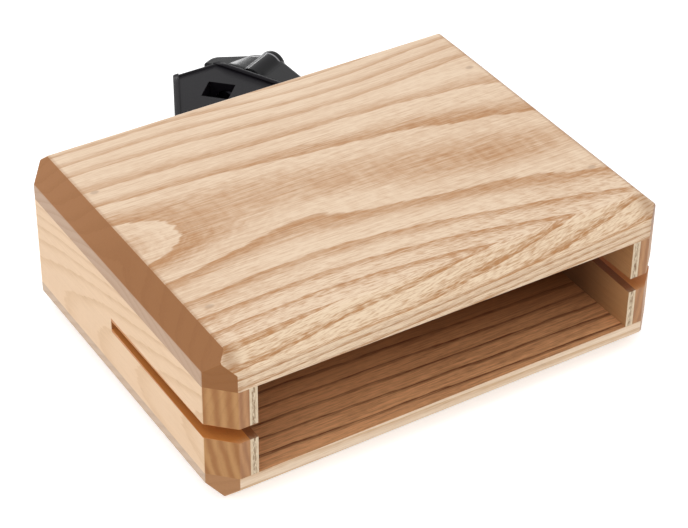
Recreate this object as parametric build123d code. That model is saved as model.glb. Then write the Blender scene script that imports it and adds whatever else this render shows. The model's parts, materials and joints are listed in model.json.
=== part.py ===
"""Woodblock: a glued-up ash sound box, open at the front, with a plastic rod holder and wing screw behind.

Millimetres. X runs along the block's width, Y from the open front to the back, Z up.
The origin is the centre of the block's bottom face.
"""
import os
from math import cos, radians, sin, tan

from build123d import *

# Wooden block
BLOCK_WIDTH = 180.0
BLOCK_DEPTH = 139.0
BLOCK_HEIGHT = 61.5
TOP_THICKNESS = 13.6
BOTTOM_THICKNESS = 11.8
WALL_THICKNESS = 12.5
BACK_THICKNESS = 16.0
LINER_THICKNESS = 3.0
END_CHAMFER = 7.6
FRONT_CHAMFER = 6.9
BACK_CHAMFER = 5.2
CORNER_CUT = 8.6
EDGE_RADIUS = 1.2

# Tone slots, sawn into the side walls from the front
SLOT_DEPTH = 73.0
SLOT_MOUTH = 5.8
SLOT_END = 3.4

# Rod holder
HOLDER_DROP = 13.0
HOLDER_HEIGHT = 24.0
HOLDER_REACH = 38.0
HOLDER_NOSE_WIDTH = 20.0
HOLDER_SIDE_ANGLE = 26.5
HOLDER_WALL = 3.0
HOLDER_ROOF = 4.0
NOSE_CORNER_RADIUS = 1.5
NOSE_TOP_RADIUS = 1.2
RIM_WIDTH = 2.2
RIM_HEIGHT = 0.6
FLANGE_WIDTH = 80.0
FLANGE_HEIGHT = 28.0
FLANGE_THICKNESS = 4.0
FLANGE_CORNER_RADIUS = 4.0
ROD_HOLE_SIDE = 10.5
ROD_HOLE_DISTANCE = 20.3

# Wood screws that hold the flange
HOLDER_SCREW_RADIUS = 1.9
HOLDER_SCREW_HEAD_RADIUS = 3.8
HOLDER_SCREW_LENGTH = 16.0
HOLDER_SCREW_POINT = 4.0
HOLDER_SCREW_INSET = 5.0

# Clamp screw, M8, with its insert, pad and wing head
SCREW_RADIUS = 4.0
SCREW_PITCH = 1.25
SCREW_TURNS = 4
SCREW_DROP = 7.2
SCREW_CHAMFER = 0.8
SCREW_GRIP = 11.0
INSERT_RADIUS = 5.3
INSERT_LENGTH = 6.0
PAD_RADIUS = 4.0
PAD_THICKNESS = 3.0
PAD_CHAMFER = 0.7
PAD_STEM_RADIUS = 1.8
PAD_STEM_LENGTH = 3.0
HUB_RADIUS = 5.3
HUB_LENGTH = 15.2
CAP_HEIGHT = 2.5
CAP_FACETS = 3
WING_SPAN = 45.6
WING_ROOT_CHORD = 17.2
WING_TIP_CHORD = 6.6
WING_TIP_RADIUS = 5.0
WING_ROOT_THICKNESS = 6.4
WING_TIP_THICKNESS = 3.8
WING_EDGE_RADIUS = 1.3
WING_TURN = 4.0

# Fits
PRESS_CLEARANCE = 0.02
RUNNING_CLEARANCE = 0.05
PAD_GUIDE_CLEARANCE = 0.2
END_GAP = 0.3

# Places that follow from the sizes above
FRONT_Y = -BLOCK_DEPTH / 2
BACK_Y = BLOCK_DEPTH / 2
WALL_HEIGHT = BLOCK_HEIGHT - TOP_THICKNESS - BOTTOM_THICKNESS
SLOT_Z = BOTTOM_THICKNESS + WALL_HEIGHT / 2
HOLDER_TOP = BLOCK_HEIGHT - HOLDER_DROP
HOLDER_BOTTOM = HOLDER_TOP - HOLDER_HEIGHT
ROD_Y = BACK_Y + ROD_HOLE_DISTANCE
SCREW_Z = HOLDER_TOP - SCREW_DROP
SCREW_TRAVEL = SCREW_PITCH * SCREW_TURNS

# The clamp screw lies square to the holder's right slanted side and points at the middle of the rod hole.
# In its frame the local Z axis runs outwards along the screw, and X lies level.
SCREW_OUT = Vector(cos(radians(HOLDER_SIDE_ANGLE)), sin(radians(HOLDER_SIDE_ANGLE)), 0)
SCREW_FRAME = Plane(origin=(0, ROD_Y, SCREW_Z), x_dir=(-SCREW_OUT.Y, SCREW_OUT.X, 0), z_dir=SCREW_OUT)

# Stations along the clamp screw, measured outwards from the middle of the rod hole
SIDE_STATION = HOLDER_NOSE_WIDTH / 2 * SCREW_OUT.X + (HOLDER_REACH - ROD_HOLE_DISTANCE) * SCREW_OUT.Y
PAD_STATION = ROD_HOLE_SIDE / 2 / cos(radians(45 - HOLDER_SIDE_ANGLE))
SCREW_START = PAD_STATION + PAD_THICKNESS
INSERT_START = SIDE_STATION - END_GAP - INSERT_LENGTH
HUB_START = SIDE_STATION + SCREW_TRAVEL + END_GAP
HUB_END = HUB_START + HUB_LENGTH


def turned(*outline):
    """Solid turned about the Z axis from (radius, height) points."""
    profile = Polyline(*[(radius, 0, height) for radius, height in outline], close=True)
    return revolve(make_face(profile), Axis.Z)


def rod(radius, start, end):
    """Plain cylinder on the Z axis from one height to another."""
    return turned((0, start), (radius, start), (radius, end), (0, end))


def block_blank():
    """The whole block after gluing, with its edges chamfered and its four upright corners cut off."""
    front_view = chamfer(Rectangle(BLOCK_WIDTH, BLOCK_HEIGHT).vertices(), END_CHAMFER)
    side_view = Rectangle(BLOCK_DEPTH, BLOCK_HEIGHT)
    side_view = chamfer(side_view.vertices().group_by(Axis.X)[0], FRONT_CHAMFER)
    side_view = chamfer(side_view.vertices().group_by(Axis.X)[-1], BACK_CHAMFER)
    plan = chamfer(Rectangle(BLOCK_WIDTH, BLOCK_DEPTH).vertices(), CORNER_CUT)
    half_up = Pos(0, BLOCK_HEIGHT / 2)
    blank = extrude(plan, BLOCK_HEIGHT)
    blank &= extrude(Plane.XZ * half_up * front_view, BLOCK_DEPTH / 2, both=True)
    blank &= extrude(Plane.YZ * half_up * side_view, BLOCK_WIDTH / 2, both=True)
    return fillet(blank.edges(), EDGE_RADIUS)


def tone_slot(side):
    """Wedge that the saw takes out of one side wall and its liner: tall at the mouth, narrow at its end."""
    half_mouth = SLOT_MOUTH / 2
    half_end = SLOT_END / 2
    outline = Polyline(
        (0, FRONT_Y - SLOT_MOUTH, SLOT_Z - half_mouth),
        (0, FRONT_Y, SLOT_Z - half_mouth),
        (0, FRONT_Y + SLOT_DEPTH, SLOT_Z - half_end),
        (0, FRONT_Y + SLOT_DEPTH, SLOT_Z + half_end),
        (0, FRONT_Y, SLOT_Z + half_mouth),
        (0, FRONT_Y - SLOT_MOUTH, SLOT_Z + half_mouth),
        close=True,
    )
    reach = WALL_THICKNESS + LINER_THICKNESS
    return Pos(side * BLOCK_WIDTH / 2, 0, 0) * extrude(make_face(outline), reach + END_GAP, both=True)


def side_wall(blank, side):
    """Ash wall between the plates, sawn by the tone slot."""
    wall = split(blank, Plane.XY.offset(BOTTOM_THICKNESS), keep=Keep.TOP)
    wall = split(wall, Plane.XY.offset(BLOCK_HEIGHT - TOP_THICKNESS), keep=Keep.BOTTOM)
    inner_face = Plane.YZ.offset(side * (BLOCK_WIDTH / 2 - WALL_THICKNESS))
    wall = split(wall, inner_face, keep=Keep.TOP if side > 0 else Keep.BOTTOM)
    return wall - tone_slot(side)


def liner(side):
    """Plywood sheet on the inside of a side wall, from the mouth to the back wall."""
    depth = BLOCK_DEPTH - BACK_THICKNESS
    x = side * (BLOCK_WIDTH / 2 - WALL_THICKNESS - LINER_THICKNESS / 2)
    sheet = Pos(x, FRONT_Y + depth / 2, SLOT_Z) * Box(LINER_THICKNESS, depth, WALL_HEIGHT)
    return sheet - tone_slot(side)


def flange_plane(distance):
    """Upright plane on the middle of the flange, at a distance behind the block, facing away from it."""
    middle = (0, BACK_Y + distance, HOLDER_TOP - FLANGE_HEIGHT / 2)
    return Plane(origin=middle, x_dir=(-1, 0, 0), z_dir=(0, 1, 0))


def holder_screw_places():
    """Head centres of the two wood screws, on the outer face of the flange."""
    across = FLANGE_WIDTH / 2 - HOLDER_SCREW_INSET
    return [flange_plane(FLANGE_THICKNESS) * Pos(x, 0, 0) for x in (-across, across)]


def holder_screw(clearance=0.0):
    """Countersunk wood screw with its head on Z = 0; a clearance makes the hole for it."""
    shank = HOLDER_SCREW_RADIUS + clearance
    head = HOLDER_SCREW_HEAD_RADIUS + clearance
    return turned(
        (0, 0),
        (head, 0),
        (shank, shank - head),
        (shank, HOLDER_SCREW_POINT - HOLDER_SCREW_LENGTH),
        (0, -HOLDER_SCREW_LENGTH - clearance),
    )


def back_wall():
    """Ash wall that closes the chamber and takes the holder's screws."""
    width = BLOCK_WIDTH - 2 * WALL_THICKNESS
    wall = Pos(0, BACK_Y - BACK_THICKNESS / 2, SLOT_Z) * Box(width, BACK_THICKNESS, WALL_HEIGHT)
    return wall - [place * holder_screw(PRESS_CLEARANCE) for place in holder_screw_places()]


def holder_plan(inset=0.0, nose_inset=0.0):
    """Wedge-shaped plan of the holder behind the block, drawn in from its slanted sides and its nose."""
    slope = tan(radians(HOLDER_SIDE_ANGLE))
    reach = HOLDER_REACH - nose_inset
    nose = HOLDER_NOSE_WIDTH / 2 + nose_inset * slope - inset / cos(radians(HOLDER_SIDE_ANGLE))
    root = nose + reach * slope
    return make_face(Polyline((-root, 0), (root, 0), (nose, reach), (-nose, reach), close=True))


def holder_core(rod_boss, screw_boss):
    """Space that the mould leaves open below the holder's roof, around the rod's and the screw's bosses."""
    core = extrude(holder_plan(HOLDER_WALL, HOLDER_WALL), HOLDER_HEIGHT - HOLDER_ROOF)
    core -= Box(2 * FLANGE_WIDTH, 2 * (FLANGE_THICKNESS + HOLDER_WALL), 2 * HOLDER_HEIGHT)
    return Pos(0, BACK_Y, HOLDER_BOTTOM) * core - rod_boss - screw_boss


def holder_wedge():
    """Solid wedge with a rounded upper nose edge, and a raised rim along each slanted side."""
    plan = holder_plan()
    plan = fillet(plan.vertices().group_by(Axis.Y)[-1], NOSE_CORNER_RADIUS)
    side_view = Pos(HOLDER_REACH / 2, HOLDER_HEIGHT / 2) * Rectangle(HOLDER_REACH, HOLDER_HEIGHT)
    nose_top = side_view.vertices().group_by(Axis.X)[-1].sort_by(Axis.Y)[-1]
    side_view = fillet(nose_top, NOSE_TOP_RADIUS)
    wedge = extrude(plan, HOLDER_HEIGHT) & extrude(Plane.YZ * side_view, FLANGE_WIDTH / 2, both=True)
    rims = extrude(plan - holder_plan(RIM_WIDTH, -RIM_WIDTH), NOSE_TOP_RADIUS + RIM_HEIGHT)
    wedge += Pos(0, 0, HOLDER_HEIGHT - NOSE_TOP_RADIUS) * rims
    return Pos(0, BACK_Y, HOLDER_BOTTOM) * wedge


def holder_body():
    """Moulded clamp: hollow wedge on a flange, around a square upright rod hole and the screw's bore."""
    body = holder_wedge()
    flange = RectangleRounded(FLANGE_WIDTH, FLANGE_HEIGHT, FLANGE_CORNER_RADIUS)
    body += extrude(flange_plane(0) * flange, FLANGE_THICKNESS)

    upright = Pos(0, ROD_Y, HOLDER_TOP - HOLDER_HEIGHT / 2) * Rot(0, 0, 45)
    boss_side = ROD_HOLE_SIDE + 2 * HOLDER_WALL
    rod_boss = upright * Box(boss_side, boss_side, 2 * HOLDER_HEIGHT)
    screw_boss = SCREW_FRAME * rod(SCREW_DROP, 0, SIDE_STATION)
    body -= holder_core(rod_boss, screw_boss)

    body -= upright * Box(ROD_HOLE_SIDE, ROD_HOLE_SIDE, 2 * HOLDER_HEIGHT)
    body -= SCREW_FRAME * rod(PAD_RADIUS + PAD_GUIDE_CLEARANCE, 0, INSERT_START)
    body -= SCREW_FRAME * rod(INSERT_RADIUS + PRESS_CLEARANCE, INSERT_START, SIDE_STATION + END_GAP)
    return body - [place * holder_screw(PRESS_CLEARANCE) for place in holder_screw_places()]


def thread_insert():
    """Brass sleeve that carries the clamp screw's thread."""
    end = INSERT_START + INSERT_LENGTH
    bore = rod(SCREW_RADIUS + RUNNING_CLEARANCE, INSERT_START, end)
    return SCREW_FRAME * (rod(INSERT_RADIUS, INSERT_START, end) - bore)


def pressure_pad():
    """Round pad that the screw pushes against the rod; its stem snaps into the screw and doesn't turn."""
    stem_end = SCREW_START + PAD_STEM_LENGTH
    return SCREW_FRAME * turned(
        (0, PAD_STATION),
        (PAD_RADIUS - PAD_CHAMFER, PAD_STATION),
        (PAD_RADIUS, PAD_STATION + PAD_CHAMFER),
        (PAD_RADIUS, SCREW_START),
        (PAD_STEM_RADIUS, SCREW_START),
        (PAD_STEM_RADIUS, stem_end),
        (0, stem_end),
    )


def clamp_screw():
    """Steel M8 shank from the pad to deep inside the wing head."""
    start = SCREW_START + RUNNING_CLEARANCE
    socket = PAD_STEM_RADIUS + RUNNING_CLEARANCE
    socket_end = SCREW_START + PAD_STEM_LENGTH + RUNNING_CLEARANCE
    end = HUB_START + SCREW_GRIP
    return SCREW_FRAME * turned(
        (0, socket_end),
        (socket, socket_end),
        (socket, start),
        (SCREW_RADIUS - SCREW_CHAMFER, start),
        (SCREW_RADIUS, start + SCREW_CHAMFER),
        (SCREW_RADIUS, end),
        (0, end),
    )


def wing_plan():
    """Both wings seen from above: straight along the holder, swept on the outside, with rounded tips."""
    half_span = WING_SPAN / 2
    plan = make_face(
        Polyline(
            (-half_span, HUB_START),
            (half_span, HUB_START),
            (half_span, HUB_START + WING_TIP_CHORD),
            (0, HUB_START + WING_ROOT_CHORD),
            (-half_span, HUB_START + WING_TIP_CHORD),
            close=True,
        )
    )
    outer_corners = plan.vertices().group_by(Axis.Y)[1]
    return fillet(outer_corners, WING_TIP_RADIUS)


def wings():
    """Two moulded wings in one piece: thick at the hub, thinner at the tips, with rounded edges."""
    half_span = WING_SPAN / 2
    root = WING_ROOT_THICKNESS / 2
    tip = WING_TIP_THICKNESS / 2
    end_view = make_face(
        Polyline(
            (-half_span, -tip),
            (0, -root),
            (half_span, -tip),
            (half_span, tip),
            (0, root),
            (-half_span, tip),
            close=True,
        )
    )
    blade = extrude(Plane.XZ * wing_plan(), root, both=True)
    blade &= extrude(end_view, HUB_START + WING_ROOT_CHORD)
    outside_the_hub = [edge for edge in blade.edges() if abs(edge.center().X) > HUB_RADIUS / 2]
    return fillet(outside_the_hub, WING_EDGE_RADIUS)


def wing_head():
    """Moulded head of the clamp screw: hub with two wings, bored for the shank, with a seat for the cap."""
    head = rod(HUB_RADIUS, HUB_START, HUB_END) + Rot(0, 0, -WING_TURN) * wings()
    head -= rod(SCREW_RADIUS + PRESS_CLEARANCE, HUB_START, HUB_START + SCREW_GRIP)
    head -= rod(HUB_RADIUS + PRESS_CLEARANCE, HUB_END, HUB_END + HUB_LENGTH)
    return SCREW_FRAME * head


def hub_cap():
    """Domed plug on the outer end of the hub, turned in a few flat steps along a quarter of an ellipse."""
    outline = [(0, HUB_END)]
    for step in range(CAP_FACETS):
        angle = radians(90 * step / CAP_FACETS)
        outline.append((HUB_RADIUS * cos(angle), HUB_END + CAP_HEIGHT * sin(angle)))
    outline.append((0, HUB_END + CAP_HEIGHT))
    return SCREW_FRAME * turned(*outline)


def main():
    blank = block_blank()
    pieces = {
        "top_plate": split(blank, Plane.XY.offset(BLOCK_HEIGHT - TOP_THICKNESS), keep=Keep.TOP),
        "bottom_plate": split(blank, Plane.XY.offset(BOTTOM_THICKNESS), keep=Keep.BOTTOM),
        "left_wall": side_wall(blank, -1),
        "right_wall": side_wall(blank, 1),
        "back_wall": back_wall(),
        "left_liner": liner(-1),
        "right_liner": liner(1),
        "holder_body": holder_body(),
        "holder_screws": Compound(children=[place * holder_screw() for place in holder_screw_places()]),
        "thread_insert": thread_insert(),
        "pressure_pad": pressure_pad(),
        "clamp_screw": clamp_screw(),
        "wing_head": wing_head(),
        "hub_cap": hub_cap(),
    }
    os.makedirs("parts", exist_ok=True)
    for name, shape in pieces.items():
        export_step(shape, f"parts/{name}.step")


main()
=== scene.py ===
"""Looks of the woodblock: ash boards, plywood liners, a moulded rod holder and its wing screw.

Metres, in the frame of the solids: X runs along the block's width, Y from its open front to its back, Z up.
The finishes reckon in millimetres, because grain is measured that way.
"""
import json
from math import atan2, cos, pi, radians, sin, sqrt

import bmesh
import bpy
from mathutils import Matrix, Vector


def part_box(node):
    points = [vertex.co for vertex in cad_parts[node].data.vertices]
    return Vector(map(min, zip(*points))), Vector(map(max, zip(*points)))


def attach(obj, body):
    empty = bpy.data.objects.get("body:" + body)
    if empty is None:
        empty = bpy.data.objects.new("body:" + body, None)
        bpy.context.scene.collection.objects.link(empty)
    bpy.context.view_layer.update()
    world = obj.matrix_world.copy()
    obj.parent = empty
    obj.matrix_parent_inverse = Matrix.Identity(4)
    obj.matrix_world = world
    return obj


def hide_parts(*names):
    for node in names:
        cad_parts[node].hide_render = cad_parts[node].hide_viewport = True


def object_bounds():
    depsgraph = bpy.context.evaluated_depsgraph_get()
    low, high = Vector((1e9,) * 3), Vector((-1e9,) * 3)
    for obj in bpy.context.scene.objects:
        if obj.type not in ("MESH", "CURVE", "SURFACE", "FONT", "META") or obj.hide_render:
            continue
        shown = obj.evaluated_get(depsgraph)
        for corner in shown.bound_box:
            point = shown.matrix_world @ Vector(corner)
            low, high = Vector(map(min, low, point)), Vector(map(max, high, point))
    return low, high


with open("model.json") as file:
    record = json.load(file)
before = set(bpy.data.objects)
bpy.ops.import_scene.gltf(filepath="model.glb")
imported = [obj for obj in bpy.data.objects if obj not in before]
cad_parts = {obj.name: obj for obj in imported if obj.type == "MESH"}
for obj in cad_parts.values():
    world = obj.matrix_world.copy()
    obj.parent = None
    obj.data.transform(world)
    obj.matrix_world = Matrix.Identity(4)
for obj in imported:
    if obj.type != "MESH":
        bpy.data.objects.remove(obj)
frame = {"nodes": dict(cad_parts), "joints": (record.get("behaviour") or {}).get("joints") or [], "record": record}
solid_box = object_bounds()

MM = 0.001
NOISE_MEAN = 0.5

# Sockets of a Mix node that mixes colours
MIX_SHARE = 0
MIX_FIRST = 6
MIX_SECOND = 7
MIX_RESULT = 2

# Camera, found by fitting the block's straight edges to the photograph
CAMERA_PLACE = Vector((-0.3425, -0.5482, 0.4980))
CAMERA_AZIMUTH = radians(-32.04)
CAMERA_DROP = radians(36.27)
CAMERA_ROLL = radians(0.65)
CAMERA_LENS = 117.6
SENSOR_WIDTH = 36.0

# Studio
FLOOR_SIZE = 6.0
FLOOR_GAP = 0.1 * MM
FLOOR_WHITE = 0.88
FLOOR_LIFT = 0.5
SKY_STRENGTH = 0.8

# Softboxes: name, place, size and power
SOFTBOXES = (
    ("key_softbox", (-0.5, -0.2, 1.1), (0.9, 0.9), 2.7),
    ("left_softbox", (-1.2, -0.3, 0.5), (0.8, 0.7), 1.1),
    ("back_softbox", (0.45, 1.4, 0.33), (1.0, 0.12), 2.5),
)
LIGHT_AIM = (0, 0, 0.03)

# Meshes
MERGE_DISTANCE = 0.001 * MM
SAME_PLANE = 0.05 * MM
SHARP_ANGLE = radians(35)

# Hub cap: a domed cup with a skirt
ROUND_COUNT = 48
DOME_STEPS = 8
CAP_SKIRT = 1.9 * MM
CAP_STEP = 0.15 * MM
CAP_BEVEL = 0.3 * MM

# Threads: rows per turn of the thread, points around, and depth as a share of the pitch
THREAD_ROWS = 8
THREAD_AROUND = 40
THREAD_DEPTH = 0.54

# Hollow webs and raised pads between the hub and the wings
WEB_RADIUS = 4.0 * MM
WEB_INNER_FADE = 2.0 * MM
WEB_OUTER_FADE = 2.5 * MM
WEB_END = 0.3
WEB_ROWS = 16
WEB_STEPS = 8
WING_HALF = 2.9 * MM
WING_TIP_SHARE = 0.9
ROOT_SINK = 0.9
PAD_INNER_HALF = 3.6 * MM
PAD_OUTER_HALF = 2.9 * MM
PAD_INNER_REACH = 12.5 * MM
PAD_OUTER_REACH = 7.0 * MM
PAD_FOOT = 2.2 * MM
PAD_SLOPE = 1.6 * MM

# Round beads on the holder's rims and nose
FLANGE_ZONE = 8.0 * MM
BEAD_WIDTH = 2.2 * MM
BEAD_HEIGHT = 0.6 * MM
BEAD_FADE = 4.0 * MM
BEAD_END = 0.1
BEAD_SINK = 0.1 * MM
BEAD_ROWS = 16
BEAD_STEPS = 8
NOSE_BEAD = 1.0 * MM
NOSE_BEAD_DROP = 0.1 * MM

# Wood screws: thread, point, and the cross recess in the head
WOOD_PITCH = 1.6 * MM
WOOD_POINT = 3.5 * MM
WOOD_POINT_SHARE = 0.1
CROSS_LENGTH = 2.1 * MM
CROSS_WIDTH = 0.45 * MM
CROSS_DEPTH = 1.2 * MM
CROSS_FLOOR = 0.55

# Depth of the fine relief, and the streaks' share of it in the wood
WOOD_RELIEF = 0.05 * MM
PLYWOOD_RELIEF = 0.1 * MM
HOLDER_RELIEF = 0.03 * MM
STREAK_RELIEF = 0.5

# Roughness of each surface, and what its marks add to it
WOOD_ROUGHNESS = 0.44
RING_ROUGHNESS = 0.08
PORE_ROUGHNESS = 0.15
PLY_ROUGHNESS = 0.5
FUZZ_ROUGHNESS = 0.2
HOLDER_ROUGHNESS = 0.34
HOLDER_GRAIN_ROUGHNESS = 0.2
WING_ROUGHNESS = 0.10
WING_GRAIN_ROUGHNESS = 0.10
SEAM_ROUGHNESS = 0.3

# Facing along an axis, from where a face begins to count as slanted or square to where it fully does
SLANTED = (0.35, 0.6)
SQUARE = (0.8, 0.95)

# Ash fibres: length and width of each kind of mark, in millimetres
LONG_STREAK = (22.0, 0.8)
SHORT_STREAK = (15.0, 0.5)
DASH = (7.0, 0.4)
SLOW_WAVER = (55.0, 16.0)
QUICK_WAVER = (12.0, 1.5)
CLOUD = (60.0, 22.0)

# Ash fibres: share of each streak, rings that each waver shifts, and the noise from which a dash is a pore
LONG_STREAK_SHARE = 0.55
SHORT_STREAK_SHARE = 0.45
SLOW_WAVER_RINGS = 0.6
QUICK_WAVER_RINGS = 0.34
PORE_DASHES = (0.56, 0.70)

# Growth rings: where the dark part is full and where it drops, and the cells of the flecks
RING_FULL = 0.97
RING_DROP = (0.95, 1.0)
FLECKS_PER_RING = 15.0
FLECK_LENGTH = 4.0

# Ash tones: how much each kind of mark darkens the wood
BASE_TONE = 0.19
RING_TONE = 0.65
STREAK_TONE = 1.6
CLOUD_TONE = 0.5
PORE_TONE = 0.10
RING_PORE_TONE = 0.30
PORE_BROWN_SHARE = 0.5

# End grain: how much each kind of mark darkens it, and the share of brown where it is darkest
END_STREAK_TONE = 0.5
END_RING_TONE = 0.14
END_FLECK_TONE = 0.2
END_BROWN_SHARE = 0.65

# Figure of the top board, in millimetres and rings
FOLD_Y = -59.8
FOLD_SHIFT = 3.5
FOLD_FADE = (-30.0, -85.0)
RIDGE_Y = 3.8
RIDGE_BEND_X = -35.0
RIDGE_BEND_POWER = 1.576
RIDGE_BEND = 0.013
RIDGE_DROP = 2.0
RIDGE_DROP_FADE = (-45.0, -85.0)
RIDGE_ROUNDING = 8.0
LEFT_SAG = 5.2
LEFT_SAG_FADE = (20.0, -45.0)
RIGHT_SAG = 3.8
RIGHT_SAG_FADE = (30.0, 85.0)
BACK_SAG_FADE = (30.0, 50.0)
BACK_Y = 41.8
BACK_DISTANCE = 47.2
BACK_SPREAD = 1.12
FAN = 1.065
FAN_TAPER = 0.006
RIDGE_COUNT = 4.7
RING_SLOPE = 0.008
RING_GROWTH = 0.001044
DEPTH_RINGS = 0.08
EDGE_DEPTH = 6.0
EDGE_RINGS = 0.26
EDGE_TAPER = 0.0008

# Soft spots that bend the rings of the top board: middle, size and share of a ring
FIGURE_SPOTS = (
    ((-90.0, -0.5), (24.8, 16.3), 0.9),
    ((-24.0, -12.0), (22.0, 9.0), -0.3),
    ((75.0, -12.0), (35.0, 9.0), 0.25),
    ((75.0, -30.0), (35.0, 8.0), -0.15),
)

# Fades across the top board, in millimetres: from its ridge or along Y
RIDGE_PALE_FADE = (8.0, 32.0)
BACK_PALE_FADE = (12.0, 45.0)
FRONT_FLECK_FADE = (-30.0, -62.0)
FRONT_EDGE_FADE = (-59.0, -64.0)
CHAMFER_FADE = (-40.0, 70.0)

# Brown edge of the top board's flat beside the end chamfers and at the front corners, in millimetres
END_CHAMFER = 7.6
BROWN_EDGE = 1.3
BROWN_EDGE_SHARE = 0.4
BROWN_CORNER_Y = -65.0
BROWN_CORNER_SIZE = (3.4, 4.5)
BROWN_CORNER_SHARE = 0.5

# Filled pin holes in the top board, in millimetres
PINS = ((-75.8, -41.3), (-78.5, 35.3), (77.5, -39.6), (78.3, 37.5))
PIN_REACH_X = 1.7
PIN_REACH_Y = 1.1
PIN_FADE = (1.5, 0.1)
PIN_SHARE = 0.42

# Tone slot: half its height and its end along Y, each from just outside to just inside, in millimetres
SLOT_HALF = (3.0, 2.85)
SLOT_END = (3.6, 3.4)

# Painted shade inside the chamber, which darkens it from the mouth to the back and a little sooner on the right,
# in millimetres
CHAMBER_SHADE_FADE = (-52.0, -22.0)
CHAMBER_SHADE_LEAN = 0.11
LINER_SHADE_LEAD = 8.0

# Rings of the bottom board and the back wall: width in millimetres, tilt, and rings per millimetre of depth
BOTTOM_RING_WIDTH = 7.2
BOTTOM_RING_TILT = 0.032
BOTTOM_RINGS_THROUGH = 0.25
BACK_WALL_RING_WIDTH = 8.0
BACK_WALL_RING_TILT = 0.05
BACK_WALL_RINGS_THROUGH = 0.12

# Rings of the side walls: on the long faces, and on the end grain
WALL_BOW_Z = 19.0
WALL_BOW_TILT = 0.1
WALL_BOW = 0.0042
WALL_RINGS_THROUGH = 0.45
WALL_RINGS_ALONG = 0.033
WALL_RING_FADE = (16.0, 34.0)
END_RING_WIDTH = 3.1
END_RING_Z = 45.0
END_RING_LEAN = 0.0032
END_WAVER = (3.0, 9.0)
END_WAVER_RINGS = 0.5

# Plywood: cells of its fuzz and half its middle ply in millimetres, gaps in that ply, facing of its edges
PLY_FUZZ = (0.6, 0.8, 2.4)
PLY_CORE_HALF = (1.0, 0.2)
PLY_CORE_GAPS = (0.36, 0.66)
PLY_EDGE = (0.6, 0.4)

# Painted highlight: pale line in the seam below the hub's cap, in millimetres and squared millimetres
SEAM_HALF = (0.35, 0.2)
SEAM_REACH_SQUARED = (32.0, 31.0)

# Plastic and metal: specular levels, and cells of the grain and scuffs in millimetres
HOLDER_SHINE = 0.13
WING_SHINE = 0.25
HOLDER_GRAIN = 0.6
WING_GRAIN = 3.0
METAL_SCUFF = 1.5


def rgb(red, green, blue):
    """Linear colour with full alpha from the 0 to 255 values of a picture."""
    linear = []
    for level in (red / 255, green / 255, blue / 255):
        linear.append(level / 12.92 if level <= 0.04045 else ((level + 0.055) / 1.055) ** 2.4)
    return (*linear, 1.0)


# Colours of the top board
TOP_PALE = rgb(238, 211, 181)
TOP_FRONT_PALE = rgb(244, 218, 186)
TOP_TAN = rgb(187, 134, 84)
TOP_CHAMFER_FRONT = rgb(151, 97, 46)
TOP_CHAMFER_BACK = rgb(163, 109, 61)
TOP_CORNER = rgb(143, 87, 25)
TOP_BAND = rgb(186, 150, 120)
PIN_FILLER = rgb(150, 116, 90)

# Colours of the bottom board
BOTTOM_PALE = rgb(250, 226, 199)
BOTTOM_TAN = rgb(219, 181, 139)
BOTTOM_CHAMFER = rgb(194, 160, 130)
BOTTOM_CORNER = rgb(170, 120, 74)
BOTTOM_BAND = rgb(204, 176, 150)
# Inside the chamber the colours carry painted shade: darker than the outside at the mouth, darker still deep
# inside
CHAMBER_MOUTH_SHADED = rgb(238, 178, 127)
CHAMBER_DEEP_SHADED = rgb(146, 94, 55)
CHAMBER_SHADED_RINGS = rgb(108, 60, 28)

# Colours of the walls
WALL_PALE = rgb(236, 201, 163)
WALL_TAN = rgb(212, 172, 128)
WALL_END_LIGHT = rgb(187, 136, 80)
WALL_END_DARK = rgb(160, 104, 48)
WALL_FRONT_LIGHT = rgb(193, 140, 92)
WALL_FRONT_DARK = rgb(167, 114, 71)
WALL_SAWN = rgb(196, 126, 62)
BACK_WALL_PALE = rgb(240, 214, 184)
BACK_WALL_TAN = rgb(206, 168, 130)
BACK_WALL_END = rgb(180, 131, 88)

# Colours of pores and of rings on end grain
PORE_BROWN = rgb(120, 76, 44)
END_RING_BROWN = rgb(104, 62, 32)

# Colours of the plywood
# Liner faces: a lit copy at the mouth of the chamber and a copy with painted shade deep inside it
LINER_MOUTH_LIGHT = rgb(206, 156, 106)
LINER_MOUTH_DARK = rgb(164, 116, 72)
LINER_SHADED_LIGHT = rgb(124, 82, 48)
LINER_SHADED_DARK = rgb(94, 60, 34)
PLY_PALE = rgb(252, 238, 212)
PLY_TAN = rgb(204, 170, 126)
PLY_CORE = rgb(128, 90, 56)
PLY_SAWN = rgb(136, 82, 42)

# Colours of plastic and metal
HOLDER_BLACK = rgb(11, 9, 13)
HOLDER_GREY = rgb(21, 18, 24)
WING_BLACK = rgb(6, 6, 8)
WING_GREY = rgb(12, 12, 15)
# Painted highlight on the seam below the hub's cap
SEAM_HIGHLIGHT_GREY = rgb(150, 150, 154)
PAD_LIGHT = rgb(40, 40, 44)
PAD_DARK = rgb(24, 24, 27)
BRASS_LIGHT = rgb(214, 180, 110)
BRASS_DARK = rgb(170, 132, 70)
ZINC_LIGHT = rgb(205, 207, 210)
ZINC_DARK = rgb(160, 163, 168)


class Signal:
    """A socket's value inside a node tree, written in plain arithmetic."""

    def __init__(self, graph, socket):
        self.graph = graph
        self.socket = socket

    def __add__(self, other):
        return self.graph.math("ADD", self, other)

    def __sub__(self, other):
        return self.graph.math("SUBTRACT", self, other)

    def __rsub__(self, other):
        return self.graph.math("SUBTRACT", other, self)

    def __mul__(self, other):
        return self.graph.math("MULTIPLY", self, other)

    def __truediv__(self, other):
        return self.graph.math("DIVIDE", self, other)

    def __pow__(self, other):
        return self.graph.math("POWER", self, other)

    def __abs__(self):
        return self.graph.math("ABSOLUTE", self)

    __radd__ = __add__
    __rmul__ = __mul__


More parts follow.
